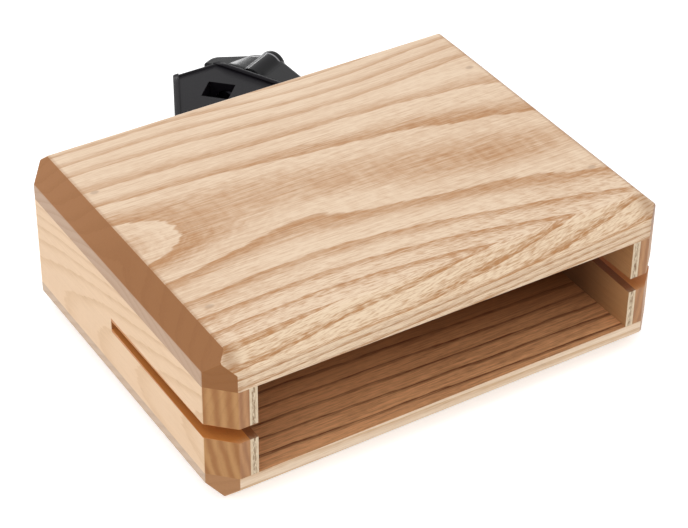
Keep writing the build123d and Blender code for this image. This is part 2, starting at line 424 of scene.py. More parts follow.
class Graph:
    """One node tree, with a short word for each kind of node that the finishes use."""

    def __init__(self, tree):
        self.tree = tree

    def node(self, kind, **settings):
        made = self.tree.nodes.new(kind)
        for name, value in settings.items():
            setattr(made, name, value)
        return made

    def feed(self, socket, value):
        """Links a signal to a socket, or sets the socket to a constant."""
        if isinstance(value, Signal):
            self.tree.links.new(value.socket, socket)
        else:
            socket.default_value = value

    def math(self, operation, *values):
        made = self.node("ShaderNodeMath", operation=operation)
        for socket, value in zip(made.inputs, values):
            self.feed(socket, value)
        return Signal(self, made.outputs[0])

    def step(self, value, low, high):
        """Goes smoothly from 0 at low to 1 at high; low may be the larger number."""
        made = self.node("ShaderNodeMapRange", interpolation_type="SMOOTHSTEP")
        for name, given in (("Value", value), ("From Min", low), ("From Max", high)):
            self.feed(made.inputs[name], given)
        return Signal(self, made.outputs["Result"])

    def limit(self, value):
        """Holds a value between 0 and 1."""
        made = self.node("ShaderNodeClamp")
        self.feed(made.inputs["Value"], value)
        return Signal(self, made.outputs["Result"])

    def positive(self, value):
        """Holds a value at or above zero."""
        return self.math("MAXIMUM", value, 0.0)

    def mix(self, share, first, second):
        """Colour that goes from the first to the second as the share goes from 0 to 1."""
        made = self.node("ShaderNodeMix", data_type="RGBA")
        for index, value in ((MIX_SHARE, share), (MIX_FIRST, first), (MIX_SECOND, second)):
            self.feed(made.inputs[index], value)
        return Signal(self, made.outputs[MIX_RESULT])

    def split(self, vector):
        made = self.node("ShaderNodeSeparateXYZ")
        self.feed(made.inputs[0], vector)
        return [Signal(self, output) for output in made.outputs]

    def join(self, x, y, z):
        made = self.node("ShaderNodeCombineXYZ")
        for socket, value in zip(made.inputs, (x, y, z)):
            self.feed(socket, value)
        return Signal(self, made.outputs[0])

    def noise(self, x, y, z, detail=2.0, roughness=0.5):
        """Noise from 0 to 1 with a mean of a half, at a point already divided by the size of its cells."""
        made = self.node("ShaderNodeTexNoise")
        self.feed(made.inputs["Vector"], self.join(x, y, z))
        made.inputs["Scale"].default_value = 1.0
        made.inputs["Detail"].default_value = detail
        made.inputs["Roughness"].default_value = roughness
        return Signal(self, made.outputs["Fac"])

    def place(self):
        """Point of the surface in millimetres, in the frame of the solids."""
        made = self.node("ShaderNodeTexCoord")
        return [axis * (1 / MM) for axis in self.split(Signal(self, made.outputs["Object"]))]

    def facing(self):
        """Direction that the surface faces, in the frame of the solids."""
        made = self.node("ShaderNodeTexCoord")
        return self.split(Signal(self, made.outputs["Normal"]))

    def group(self, tree, **inputs):
        """Places a node group and returns its outputs by name."""
        made = self.node("ShaderNodeGroup", node_tree=tree)
        for name, value in inputs.items():
            self.feed(made.inputs[name.replace("_", " ").title()], value)
        return {output.name: Signal(self, output) for output in made.outputs}


def new_group(name, inputs, outputs):
    """Empty shader group with named sockets; returns its graph, its inputs by name and its output node."""
    tree = bpy.data.node_groups.new(name, "ShaderNodeTree")
    for direction, sockets in (("INPUT", inputs), ("OUTPUT", outputs)):
        for socket_name, kind in sockets.items():
            tree.interface.new_socket(name=socket_name, in_out=direction, socket_type="NodeSocket" + kind)
    graph = Graph(tree)
    given = graph.node("NodeGroupInput")
    return graph, {s.name: Signal(graph, s) for s in given.outputs if s.name}, graph.node("NodeGroupOutput")


def new_material(name):
    """Empty material with a Principled shader; returns the material, its graph and the shader node."""
    material = bpy.data.materials.new(name)
    material.use_nodes = True
    return material, Graph(material.node_tree), material.node_tree.nodes["Principled BSDF"]


def bump(graph, shader, height, depth):
    """Puts a height on the shader's normal; the depth is how far a height of 1 stands out."""
    made = graph.node("ShaderNodeBump")
    made.inputs["Distance"].default_value = depth
    graph.feed(made.inputs["Height"], height)
    graph.tree.links.new(made.outputs["Normal"], shader.inputs["Normal"])


# Wood

def fibre_group():
    """Marks of ash along the grain: streaks, short pores, the waver of its rings, clouds of colour."""
    graph, given, out = new_group(
        "ash_fibres",
        {"Along": "Float", "Across": "Float", "Through": "Float"},
        {"Streak": "Float", "Pores": "Float", "Waver": "Float", "Cloud": "Float"},
    )

    def marks(size, detail, roughness=0.5):
        length, width = size
        along = given["Along"] / length
        return graph.noise(along, given["Across"] / width, given["Through"] / width, detail, roughness)

    long_streak = marks(LONG_STREAK, detail=3.0, roughness=0.6) * LONG_STREAK_SHARE
    short_streak = marks(SHORT_STREAK, detail=1.0) * SHORT_STREAK_SHARE
    slow = (marks(SLOW_WAVER, detail=2.0) - NOISE_MEAN) * SLOW_WAVER_RINGS
    quick = (marks(QUICK_WAVER, detail=2.0) - NOISE_MEAN) * QUICK_WAVER_RINGS
    graph.feed(out.inputs["Streak"], long_streak + short_streak)
    graph.feed(out.inputs["Pores"], graph.step(marks(DASH, detail=1.0), *PORE_DASHES))
    graph.feed(out.inputs["Waver"], slow + quick)
    graph.feed(out.inputs["Cloud"], marks(CLOUD, detail=1.0))
    return graph.tree


def ring_group():
    """Dark share of a growth ring, which rises to a drop at each whole number, and flecks along it."""
    graph, given, out = new_group(
        "growth_rings",
        {"Ring Count": "Float", "Along": "Float", "Pale Part": "Float"},
        {"Darkness": "Float", "Flecks": "Float"},
    )
    part = graph.math("FRACT", given["Ring Count"])
    rise = graph.step(part, given["Pale Part"], RING_FULL)
    drop = 1.0 - graph.step(part, *RING_DROP)
    graph.feed(out.inputs["Darkness"], rise * drop)
    flecks = graph.noise(given["Ring Count"] * FLECKS_PER_RING, given["Along"] / FLECK_LENGTH, 0.0)
    graph.feed(out.inputs["Flecks"], flecks)
    return graph.tree


def ash_group(fibres, rings):
    """Ash board: pale wood, tan rings, streaks and pores, and browner end grain."""
    graph, given, out = new_group(
        "ash_board",
        {
            "Along": "Float",
            "Across": "Float",
            "Through": "Float",
            "Ring Count": "Float",
            "Waver Share": "Float",
            "Pale Part": "Float",
            "Ring Share": "Float",
            "Fleck Share": "Float",
            "End Share": "Float",
            "Pale": "Color",
            "Tan": "Color",
            "End": "Color",
        },
        {"Color": "Color", "Roughness": "Float", "Height": "Float"},
    )
    marks = graph.group(fibres, along=given["Along"], across=given["Across"], through=given["Through"])
    count = given["Ring Count"] + marks["Waver"] * given["Waver Share"]
    ring = graph.group(rings, ring_count=count, along=given["Along"], pale_part=given["Pale Part"])
    dark = ring["Darkness"]
    streak = marks["Streak"] - NOISE_MEAN
    fleck = (ring["Flecks"] - NOISE_MEAN) * given["Fleck Share"]
    cloud = marks["Cloud"] - NOISE_MEAN
    tone = dark * RING_TONE + streak * STREAK_TONE + fleck + cloud * CLOUD_TONE + BASE_TONE
    tone = graph.limit(tone * given["Ring Share"])
    side = graph.mix(tone, given["Pale"], given["Tan"])
    pores = marks["Pores"] * (PORE_TONE + dark * RING_PORE_TONE) * given["Ring Share"]
    side = graph.mix(pores, side, graph.mix(PORE_BROWN_SHARE, given["Tan"], PORE_BROWN))
    end_tone = graph.limit(streak * END_STREAK_TONE + dark * END_RING_TONE + fleck * END_FLECK_TONE)
    end_dark = graph.mix(END_BROWN_SHARE, given["End"], END_RING_BROWN)
    end = graph.mix(end_tone, given["End"], end_dark)
    graph.feed(out.inputs["Color"], graph.mix(given["End Share"], side, end))
    graph.feed(out.inputs["Roughness"], WOOD_ROUGHNESS + dark * RING_ROUGHNESS + pores * PORE_ROUGHNESS)
    graph.feed(out.inputs["Height"], streak * STREAK_RELIEF - pores)
    return graph.tree


def wood_finish(graph, shader, wood):
    graph.feed(shader.inputs["Base Color"], wood["Color"])
    graph.feed(shader.inputs["Roughness"], wood["Roughness"])
    bump(graph, shader, wood["Height"], WOOD_RELIEF)


def spot(graph, x, y, middle, size):
    """Soft round spot, 1 in its middle."""
    along = (x - middle[0]) / size[0]
    across = (y - middle[1]) / size[1]
    return graph.math("EXPONENT", (along * along + across * across) * -1.0)


def top_figure(graph, x, y, z):
    """Ring count of the top board, and the distance from its ridge.

    The figure is a cathedral about a ridge along X, folded into tips near the front edge.
    The ridge drifts to the front as it runs right. The lines behind it fan out,
    and those along the back edge sag in the middle.
    """
    fold = FOLD_Y - graph.step(x, *FOLD_FADE) * FOLD_SHIFT
    bend = graph.positive(x - RIDGE_BEND_X) ** RIDGE_BEND_POWER * RIDGE_BEND
    ridge = RIDGE_Y - bend - graph.step(x, *RIDGE_DROP_FADE) * RIDGE_DROP
    front = ridge - abs(y - fold) - fold
    sag = graph.step(x, *LEFT_SAG_FADE) * LEFT_SAG + graph.step(x, *RIGHT_SAG_FADE) * RIGHT_SAG
    beyond = y - graph.step(y, *BACK_SAG_FADE) * sag - BACK_Y
    fan = FAN - x * FAN_TAPER
    back = BACK_DISTANCE - fan * graph.positive(0.0 - beyond) + graph.positive(beyond) * BACK_SPREAD
    away = graph.positive(graph.math("SMOOTH_MAX", front, back, RIDGE_ROUNDING))
    count = RIDGE_COUNT - away * RING_SLOPE - away * away * RING_GROWTH
    for middle, size, share in FIGURE_SPOTS:
        count = count + spot(graph, x, y, middle, size) * share
    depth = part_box("top_plate")[1].z / MM - z
    edge_lines = graph.positive(depth - EDGE_DEPTH) * (EDGE_RINGS + x * EDGE_TAPER)
    return count + depth * DEPTH_RINGS + edge_lines, away


def top_end_share(graph, x, y, facing_x, facing_z):
    """1 on the end grain of the top board, less on the brown edge of its flat and at its front corners."""
    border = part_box("top_plate")[1].x / MM - END_CHAMFER
    beside = graph.step(abs(x), border - BROWN_EDGE, border)
    edge = beside * graph.step(facing_z, *SQUARE) * BROWN_EDGE_SHARE
    corner = spot(graph, abs(x), y, (border, BROWN_CORNER_Y), BROWN_CORNER_SIZE) * BROWN_CORNER_SHARE
    brown = graph.math("MAXIMUM", edge, corner)
    return graph.math("MAXIMUM", graph.step(abs(facing_x), *SLANTED), brown)


def plate_end_colour(graph, facing_x, facing_y, chamfer, corner, band):
    """Colour of a plate's end grain: on its chamfer, its cut-off corner and its upright band."""
    at_corner = graph.step(abs(facing_y), *SLANTED)
    upright = graph.step(abs(facing_x), *SQUARE)
    return graph.mix(upright, graph.mix(at_corner, chamfer, corner), band)


def pin_marks(graph, x, y):
    """1 on four small filled pin holes, where the top board is pinned to the side walls."""
    marks = 0.0
    for pin_x, pin_y in PINS:
        along = (x - pin_x) / PIN_REACH_X
        across = (y - pin_y) / PIN_REACH_Y
        mark = graph.step(along * along + across * across, *PIN_FADE)
        marks = graph.math("MAXIMUM", mark, marks)
    return marks


def ash_top(board):
    material, graph, shader = new_material("ash_top")
    x, y, z = graph.place()
    facing_x, facing_y, facing_z = graph.facing()
    count, away = top_figure(graph, x, y, z)
    chamfer = graph.mix(graph.step(y, *CHAMFER_FADE), TOP_CHAMFER_FRONT, TOP_CHAMFER_BACK)
    wood = graph.group(
        board,
        along=x,
        across=y,
        through=z,
        ring_count=count,
        waver_share=0.5,
        pale_part=0.12 + graph.step(away, *RIDGE_PALE_FADE) * 0.3,
        ring_share=1.0 - graph.step(y, *BACK_PALE_FADE) * 0.3,
        fleck_share=0.7 + graph.step(y, *FRONT_FLECK_FADE) * 1.7,
        end_share=top_end_share(graph, x, y, facing_x, facing_z),
        pale=graph.mix(graph.step(y, *FRONT_EDGE_FADE), TOP_PALE, TOP_FRONT_PALE),
        tan=TOP_TAN,
        end=plate_end_colour(graph, facing_x, facing_y, chamfer, TOP_CORNER, TOP_BAND),
    )
    wood["Color"] = graph.mix(pin_marks(graph, x, y) * PIN_SHARE, wood["Color"], PIN_FILLER)
    wood_finish(graph, shader, wood)
    return material


def painted_chamber_shade(graph, x, y):
    """Painted shade of the chamber: rises from 0 at its mouth to 1 well inside it, a little sooner on the right.
    """
    return graph.step(y + x * CHAMBER_SHADE_LEAN, *CHAMBER_SHADE_FADE)


def ash_bottom(board):
    """Bottom board; its upper face, inside the chamber, has straight narrow rings and is darkened by painted
    shade, more from the mouth to the back.
    """
    material, graph, shader = new_material("ash_bottom")
    x, y, z = graph.place()
    facing_x, facing_y, facing_z = graph.facing()
    inside = graph.step(facing_z, *SQUARE)
    # Painted shade: the inside of the chamber goes from its mouth colour to a darker one towards the back
    shaded_inside_pale = graph.mix(painted_chamber_shade(graph, x, y), CHAMBER_MOUTH_SHADED, CHAMBER_DEEP_SHADED)
    wood = graph.group(
        board,
        along=x,
        across=y,
        through=z,
        ring_count=(y + x * BOTTOM_RING_TILT) / BOTTOM_RING_WIDTH + z * BOTTOM_RINGS_THROUGH,
        waver_share=0.5,
        pale_part=0.3 + inside * 0.4,
        ring_share=1.0,
        fleck_share=0.7,
        end_share=graph.step(abs(facing_x), *SLANTED),
        pale=graph.mix(inside, BOTTOM_PALE, shaded_inside_pale),
        tan=graph.mix(inside, BOTTOM_TAN, CHAMBER_SHADED_RINGS),
        end=plate_end_colour(graph, facing_x, facing_y, BOTTOM_CHAMFER, BOTTOM_CORNER, BOTTOM_BAND),
    )
    wood_finish(graph, shader, wood)
    return material


def in_slot(graph, y, z):
    """1 on the sawn surfaces of the tone slot."""
    low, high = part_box("left_wall")
    middle = (low.z + high.z) / 2 / MM
    return graph.step(abs(z - middle), *SLOT_HALF) * graph.step(y, *SLOT_END)


def wall_end_colour(graph, x, z, facing_y):
    """End grain of a side wall: broad light and dark rings that lean, pinker on the front face."""
    lean = (z - END_RING_Z) * (z - END_RING_Z) * END_RING_LEAN
    waver = graph.noise(x / END_WAVER[0], 0.0, z / END_WAVER[1]) * END_WAVER_RINGS
    swing = graph.math("SINE", ((abs(x) + lean) / END_RING_WIDTH + waver) * (2 * pi)) * 0.5 + 0.5
    corner = graph.mix(swing, WALL_END_LIGHT, WALL_END_DARK)
    front = graph.mix(swing, WALL_FRONT_LIGHT, WALL_FRONT_DARK)
    return graph.mix(graph.step(abs(facing_y), *SQUARE), corner, front)


def ash_side_wall(board):
    """Side wall with its grain along Y; its rings bow about a line that falls a little towards the back."""
    material, graph, shader = new_material("ash_side_wall")
    x, y, z = graph.place()
    facing_y = graph.facing()[1]
    level = z - WALL_BOW_Z + y * WALL_BOW_TILT
    wood = graph.group(
        board,
        along=y,
        across=x,
        through=z,
        ring_count=abs(x) * WALL_RINGS_THROUGH + level * level * WALL_BOW + y * WALL_RINGS_ALONG,
        waver_share=0.8,
        pale_part=0.5,
        ring_share=0.45 + graph.step(z, *WALL_RING_FADE) * 0.25,
        fleck_share=0.5,
        end_share=graph.step(abs(facing_y), *SLANTED),
        pale=WALL_PALE,
        tan=WALL_TAN,
        end=wall_end_colour(graph, x, z, facing_y),
    )
    wood["Color"] = graph.mix(in_slot(graph, y, z), wood["Color"], WALL_SAWN)
    wood_finish(graph, shader, wood)
    return material


def ash_back_wall(board):
    material, graph, shader = new_material("ash_back_wall")
    x, y, z = graph.place()
    facing_x = graph.facing()[0]
    wood = graph.group(
        board,
        along=x,
        across=y,
        through=z,
        ring_count=(z + x * BACK_WALL_RING_TILT) / BACK_WALL_RING_WIDTH + y * BACK_WALL_RINGS_THROUGH,
        waver_share=0.9,
        pale_part=0.3,
        ring_share=0.9,
        fleck_share=0.7,
        end_share=graph.step(abs(facing_x), *SLANTED),
        pale=BACK_WALL_PALE,
        tan=BACK_WALL_TAN,
        end=BACK_WALL_END,
    )
    wood_finish(graph, shader, wood)
    return material


def plywood(fibres, name, node):
    """Three-ply birch: long-grained outer plies and a rough middle ply that shows on the edges; painted shade
    darkens the faces deeper in the chamber.
    """
    material, graph, shader = new_material(name)
    x, y, z = graph.place()
    facing_x = graph.facing()[0]
    low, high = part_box(node)
    middle = (low.x + high.x) / 2 / MM
    streak = graph.group(fibres, along=y, across=z, through=x)["Streak"]
    # Painted light and shade: the faces are lighter at the mouth and darker deep in the chamber
    mouth = graph.mix(streak, LINER_MOUTH_LIGHT, LINER_MOUTH_DARK)
    deep = graph.mix(streak, LINER_SHADED_LIGHT, LINER_SHADED_DARK)
    face = graph.mix(painted_chamber_shade(graph, x, y + LINER_SHADE_LEAD), mouth, deep)
    fuzz = graph.noise(x / PLY_FUZZ[0], y / PLY_FUZZ[1], z / PLY_FUZZ[2], detail=4.0, roughness=0.7)
    core = graph.step(abs(x - middle), *PLY_CORE_HALF) * graph.step(fuzz, *PLY_CORE_GAPS)
    edge = graph.mix(core, graph.mix(fuzz, PLY_PALE, PLY_TAN), PLY_CORE)
    on_edge = graph.step(abs(facing_x), *PLY_EDGE)
    sawn = in_slot(graph, y, z) * on_edge
    colour = graph.mix(on_edge, face, edge)
    graph.feed(shader.inputs["Base Color"], graph.mix(sawn, colour, PLY_SAWN))
    graph.feed(shader.inputs["Roughness"], PLY_ROUGHNESS + fuzz * FUZZ_ROUGHNESS)
    bump(graph, shader, fuzz * on_edge, PLYWOOD_RELIEF)
    return material


# Plastic and metal

def holder_plastic():
    material, graph, shader = new_material("holder_plastic")
    x, y, z = graph.place()
    grain = graph.noise(x / HOLDER_GRAIN, y / HOLDER_GRAIN, z / HOLDER_GRAIN)
    graph.feed(shader.inputs["Base Color"], graph.mix(grain, HOLDER_BLACK, HOLDER_GREY))
    graph.feed(shader.inputs["Roughness"], HOLDER_ROUGHNESS + grain * HOLDER_GRAIN_ROUGHNESS)
    shader.inputs["Specular IOR Level"].default_value = HOLDER_SHINE
    bump(graph, shader, grain, HOLDER_RELIEF)
    return material


def painted_seam_highlight(graph, axes, x, y, z):
    """1 on the hub's surface in the seam below its cap, where a highlight is painted."""
    outward = axes.to_3x3() @ Vector((0, 0, 1))
    seam = axes @ Vector((0, 0, reach_of("wing_head", axes)[1] - CAP_SKIRT)) / MM
    station = (x - seam.x) * outward.x + (y - seam.y) * outward.y
    sideways = (x - seam.x) * outward.y - (y - seam.y) * outward.x
    reach = sideways * sideways + (z - seam.z) * (z - seam.z)
    return graph.step(abs(station), *SEAM_HALF) * graph.step(reach, *SEAM_REACH_SQUARED)


def wing_plastic(axes):
    """Glossy black plastic, with a painted highlight: a pale, rougher line in the seam below the cap."""
    material, graph, shader = new_material("wing_plastic")
    x, y, z = graph.place()
    grain = graph.noise(x / WING_GRAIN, y / WING_GRAIN, z / WING_GRAIN, detail=3.0)
    line = painted_seam_highlight(graph, axes, x, y, z)
    black = graph.mix(grain, WING_BLACK, WING_GREY)
    # Painted highlight: the seam below the cap is coloured pale grey
    graph.feed(shader.inputs["Base Color"], graph.mix(line, black, SEAM_HIGHLIGHT_GREY))
    rough = WING_ROUGHNESS + grain * WING_GRAIN_ROUGHNESS + line * SEAM_ROUGHNESS
    graph.feed(shader.inputs["Roughness"], rough)
    shader.inputs["Specular IOR Level"].default_value = WING_SHINE
    return material


def metal(name, light, dark, smooth, rough):
    """Scuffed metal, from light and smooth to dark and rough."""
    material, graph, shader = new_material(name)
    x, y, z = graph.place()
    scuff = graph.noise(x / METAL_SCUFF, y / METAL_SCUFF, z / METAL_SCUFF, detail=4.0)
    graph.feed(shader.inputs["Base Color"], graph.mix(scuff, light, dark))
    graph.feed(shader.inputs["Roughness"], smooth + scuff * (rough - smooth))
    shader.inputs["Metallic"].default_value = 1.0
    return material


def dress(material, *nodes):
    """Gives solids their material."""
    for name in nodes:
        slots = frame["nodes"][name].data.materials
        slots.clear()
        slots.append(material)


def finish_solids(wing_black, holder_black):
    fibres = fibre_group()
    board = ash_group(fibres, ring_group())
    dress(ash_top(board), "top_plate")
    dress(ash_bottom(board), "bottom_plate")
    dress(ash_side_wall(board), "left_wall", "right_wall")
    dress(ash_back_wall(board), "back_wall")
    dress(plywood(fibres, "plywood_left", "left_liner"), "left_liner")
    dress(plywood(fibres, "plywood_right", "right_liner"), "right_liner")
    dress(holder_black, "holder_body")
    dress(wing_black, "wing_head")
    dress(metal("pad_steel", PAD_LIGHT, PAD_DARK, smooth=0.4, rough=0.65), "pressure_pad")
    dress(metal("insert_brass", BRASS_LIGHT, BRASS_DARK, smooth=0.25, rough=0.4), "thread_insert")


# Measuring the solids, and building pieces

def screw_axes():
    """Matrix from the clamp screw's own axes to the frame of the solids.

    Its x runs to the left wing, y up and z outward along the screw.
    """
    joint = next(joint for joint in frame["joints"] if joint["name"] == "wing_turn")
    outward = -Vector(joint["axis"])
    upward = Vector((0, 0, 1))
    sideways = upward.cross(outward)
    turn = Matrix((sideways, upward, outward)).transposed().to_4x4()
    return Matrix.Translation(joint["pos_m"]) @ turn


def points_of(node, axes):
    """Corners of a solid's mesh in the given axes."""
    solid = frame["nodes"][node]
    return [axes.inverted() @ solid.matrix_world @ vertex.co for vertex in solid.data.vertices]


def reach_of(node, axes):
    """Lowest and highest station of a node along the axes' z, and its largest distance from that line."""
    points = points_of(node, axes)
    stations = [point.z for point in points]
    return min(stations), max(stations), max(point.xy.length for point in points)


def new_piece(name, work, axes, material, body):
    """Makes an object from a bmesh in the given axes, smooth but for its sharp edges, riding on a body."""
    bmesh.ops.remove_doubles(work, verts=work.verts, dist=MERGE_DISTANCE)
    bmesh.ops.recalc_face_normals(work, faces=work.faces)
    mesh = bpy.data.meshes.new(name)
    work.to_mesh(mesh)
    work.free()
    mesh.transform(axes)
    mesh.shade_smooth()
    mesh.set_sharp_from_angle(angle=SHARP_ANGLE)
    mesh.materials.append(material)
    piece = bpy.data.objects.new(name, mesh)
    bpy.context.scene.collection.objects.link(piece)
    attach(piece, body)
    return piece


def skin(work, rows):
    """Faces between neighbouring rows of points that close on themselves; returns the rows' corners."""
    made = [[work.verts.new(point) for point in row] for row in rows]
    for lower, upper in zip(made, made[1:]):
        for index in range(len(lower)):
            following = (index + 1) % len(lower)
            work.faces.new((lower[index], lower[following], upper[following], upper[index]))
    return made


def closed_bar(work, rows):
    """Bar whose rows of points close on themselves, with a face on each end."""
    made = skin(work, rows)
    work.faces.new(made[0])
    work.faces.new(made[-1])


def ring(radius, station, count):
    """Points of a circle about z; radius is a number, or a function of the angle."""
    points = []
    for index in range(count):
        angle = 2 * pi * index / count
        length = radius(angle) if callable(radius) else radius
        points.append(Vector((length * cos(angle), length * sin(angle), station)))
    return points


def threaded_rows(start, end, outer, pitch):
    """Rings of a rod with a right-hand thread whose depth fades out over the last turn at both ends."""
    rows = []
    count = round((end - start) / pitch * THREAD_ROWS)
    for index in range(count + 1):
        station = start + (end - start) * index / count
        depth = pitch * THREAD_DEPTH * min(1.0, (station - start) / pitch, (end - station) / pitch)

        def radius(angle):
            wave = abs(2 * ((station / pitch - angle / (2 * pi)) % 1) - 1)
            return outer - depth * wave

        rows.append(ring(radius, station, THREAD_AROUND))
    return rows


# Pieces on the clamp screw, in its own axes

def threaded_screw(axes, steel):
    start, end, outer = reach_of("clamp_screw", axes)
    pitch = 2 * pi * frame["record"]["behaviour"]["couplings"][0]["ratio"]
    work = bmesh.new()
    closed_bar(work, threaded_rows(start, end, outer, pitch))
    piece = new_piece("clamp_screw_thread", work, axes, steel, "wing_screw")
    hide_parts("clamp_screw")


def domed_cap(axes, black):
    """Domed cup on the outer end of the hub, with a short skirt around the hub."""
    hub_end = reach_of("wing_head", axes)[1]
    cap_end, cap_radius = reach_of("hub_cap", axes)[1:]
    skirt_start = hub_end - CAP_SKIRT
    skirt = cap_radius + CAP_STEP
    outline = [(cap_radius, skirt_start), (skirt, skirt_start + CAP_BEVEL)]
    for index in range(DOME_STEPS):
        angle = pi / 2 * index / DOME_STEPS
        outline.append((skirt * cos(angle), hub_end + (cap_end - hub_end) * sin(angle)))
    work = bmesh.new()
    made = skin(work, [ring(radius, station, ROUND_COUNT) for radius, station in outline])
    work.faces.new(made[0])
    crown = work.verts.new((0, 0, cap_end))
    for index, point in enumerate(made[-1]):
        work.faces.new((point, made[-1][(index + 1) % ROUND_COUNT], crown))
    piece = new_piece("hub_cap_dome", work, axes, black, "wing_screw")
    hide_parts("hub_cap")


def root_start(hub):
    """Point inside the hub from which a web or a pad is drawn."""
    return Vector((ROOT_SINK * sqrt(hub ** 2 - WING_HALF ** 2), ROOT_SINK * WING_HALF))


def web_section(hub):
    """Hollow web across the screw, from the hub to the flat side of a wing."""
    middle_x = sqrt((hub + WEB_RADIUS) ** 2 - (WING_HALF + WEB_RADIUS) ** 2)
    middle = Vector((middle_x, WING_HALF + WEB_RADIUS))
    first = pi + atan2(middle.y, middle.x)
    points = [root_start(hub)]
    for step in range(WEB_STEPS + 1):
        angle = first + (1.5 * pi - first) * step / WEB_STEPS
        points.append(middle + WEB_RADIUS * Vector((cos(angle), sin(angle))))
    return points


def pad_section(hub, half, reach):
    """Raised pad across the screw, level from the hub to its reach, then falling softly into a wing."""
    points = [root_start(hub), Vector((sqrt(hub ** 2 - half ** 2), half))]
    for step in range(WEB_STEPS + 1):
        fall = (1 - cos(pi * step / WEB_STEPS)) / 2
        points.append(Vector((reach + PAD_SLOPE * step / WEB_STEPS, half + (PAD_FOOT - half) * fall)))
    return points


def root_section(hub, part, padded):
    """Section of a pad or a web at a part of the way from the holder to the hub's outer end."""
    if not padded:
        return web_section(hub)
    half = PAD_INNER_HALF + (PAD_OUTER_HALF - PAD_INNER_HALF) * part
    reach = PAD_INNER_REACH + (PAD_OUTER_REACH - PAD_INNER_REACH) * part
    return pad_section(hub, half, reach)


def root_rows(hub, start, end, flip_x, flip_y):
    """Rows of one pad or web along the hub, drawn in towards the hub at both ends."""
    rows = []
    for index in range(WEB_ROWS + 1):
        part = index / WEB_ROWS
        station = start + (end - start) * part
        section = root_section(hub, part, flip_x == flip_y)
        fade = min(1.0, (station - start) / WEB_INNER_FADE, (end - station) / WEB_OUTER_FADE)
        share = WEB_END + (1 - WEB_END) * fade
        points = [section[0].lerp(point, share) for point in section]
        rows.append([Vector((point.x * flip_x, point.y * flip_y, station)) for point in points])
    return rows


def wing_roots(axes, black):
    """Webs and pads that run the flat sides of the wings into the hub.

    Each wing has a hollow web on one side and, on the other, a pad that flares towards the holder.
    Turned half about the screw, the two wings are the same.
    """
    start, end, span = reach_of("wing_head", axes)
    hub = reach_of("hub_cap", axes)[2]
    tips = [point for point in points_of("wing_head", axes) if point.x > WING_TIP_SHARE * span]
    lean = Matrix.Rotation(atan2(sum(point.y for point in tips), sum(point.x for point in tips)), 3, "Z")
    work = bmesh.new()
    for flip_x in (-1, 1):
        for flip_y in (-1, 1):
            rows = root_rows(hub, start, end, flip_x, flip_y)
            closed_bar(work, [[lean @ point for point in row] for row in rows])
    new_piece("wing_roots", work, axes, black, "wing_screw")


# Pieces on the holder

def rim_of_holder(axes):
    """Start, end, top and outer side of the holder's rim beside the clamp screw, in the screw's axes."""
    points = points_of("holder_body", axes)
    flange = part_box("holder_body")[0].y + FLANGE_ZONE
    side = max(point.z for point in points if (axes @ point).y > flange)
    rim = [point for point in points if abs(point.z - side) < SAME_PLANE]
    return min(point.x for point in rim), max(point.x for point in rim), max(point.y for point in rim), side


def rim_bead_row(axes, along, top, side, height, flip):
    """Half round across the rim at one place along it; flip mirrors it to the other side of the holder."""
    row = []
    for step in range(BEAD_STEPS + 1):
        angle = pi * step / BEAD_STEPS
        across = side - BEAD_WIDTH / 2 * (1 - cos(angle))
        place = axes @ Vector((along, top + height * sin(angle) - BEAD_SINK, across))
        row.append(Vector((place.x * flip, place.y, place.z)))
    return row


def rim_beads(axes, plastic):
    """Rounded bead on the raised rim along each slanted side of the holder."""
    start, end, top, side = rim_of_holder(axes)
    work = bmesh.new()
    for flip in (-1, 1):
        rows = []
        for index in range(BEAD_ROWS + 1):
            along = start + (end - start) * (1 - cos(pi * index / BEAD_ROWS)) / 2
            fade = sin(pi / 2 * min(1.0, (end - along) / BEAD_FADE))
            rows.append(rim_bead_row(axes, along, top, side, BEAD_HEIGHT * max(BEAD_END, fade), flip))
        closed_bar(work, rows)
    new_piece("holder_rim_beads", work, Matrix(), plastic, "block")


def nose_bead(plastic):
    """Rounded bead along the upper edge of the holder's nose, between the ends of its rims."""
    points = points_of("holder_body", Matrix())
    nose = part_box("holder_body")[1].y
    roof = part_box("holder_body")[1].z - NOSE_BEAD_DROP
    half = max(point.x for point in points if nose - point.y < SAME_PLANE)
    rows = []
    for index in range(BEAD_ROWS + 1):
        along = half * (2 * index / BEAD_ROWS - 1)
        row = []
        for step in range(2 * BEAD_STEPS):
            angle = pi * step / BEAD_STEPS
            row.append((along, nose + NOSE_BEAD * (sin(angle) - 1), roof + NOSE_BEAD * (cos(angle) - 1)))
        rows.append(row)
    work = bmesh.new()
    closed_bar(work, rows)
    new_piece("holder_nose_bead", work, Matrix(), plastic, "block")


def cross_recess(work, rim):
    """Closes a screw head's rim with a flat face that has a tapered cross sunk into it."""
    corners = []
    for quarter in range(4):
        spin = Matrix.Rotation(quarter * pi / 2, 3, "Z")
        for x, y in ((CROSS_LENGTH, -CROSS_WIDTH), (CROSS_LENGTH, CROSS_WIDTH), (CROSS_WIDTH, CROSS_WIDTH)):
            corners.append(spin @ Vector((x, y, 0)))
    deep = [Vector((point.x * CROSS_FLOOR, point.y * CROSS_FLOOR, -CROSS_DEPTH)) for point in corners]
    mouth, bottom = skin(work, [corners, deep])
    work.faces.new(bottom)
    edges = []
    for loop in (rim, mouth):
        for index, point in enumerate(loop):
            following = loop[(index + 1) % len(loop)]
            edges.append(work.edges.get((point, following)))
    bmesh.ops.triangle_fill(work, edges=edges, use_beauty=True)


def wood_screw(work, length, head):
    """Countersunk wood screw along z, its head's face at zero and its point at minus length."""
    shank = head / 2
    neck = shank - head
    rows = [ring(head, 0.0, THREAD_AROUND), ring(shank, neck, THREAD_AROUND)]
    rows += reversed(threaded_rows(WOOD_POINT - length, neck - WOOD_PITCH, shank, WOOD_PITCH))
    rows.append(ring(shank * WOOD_POINT_SHARE, -length, THREAD_AROUND))
    made = skin(work, rows)
    work.faces.new(made[-1])
    cross_recess(work, made[0])


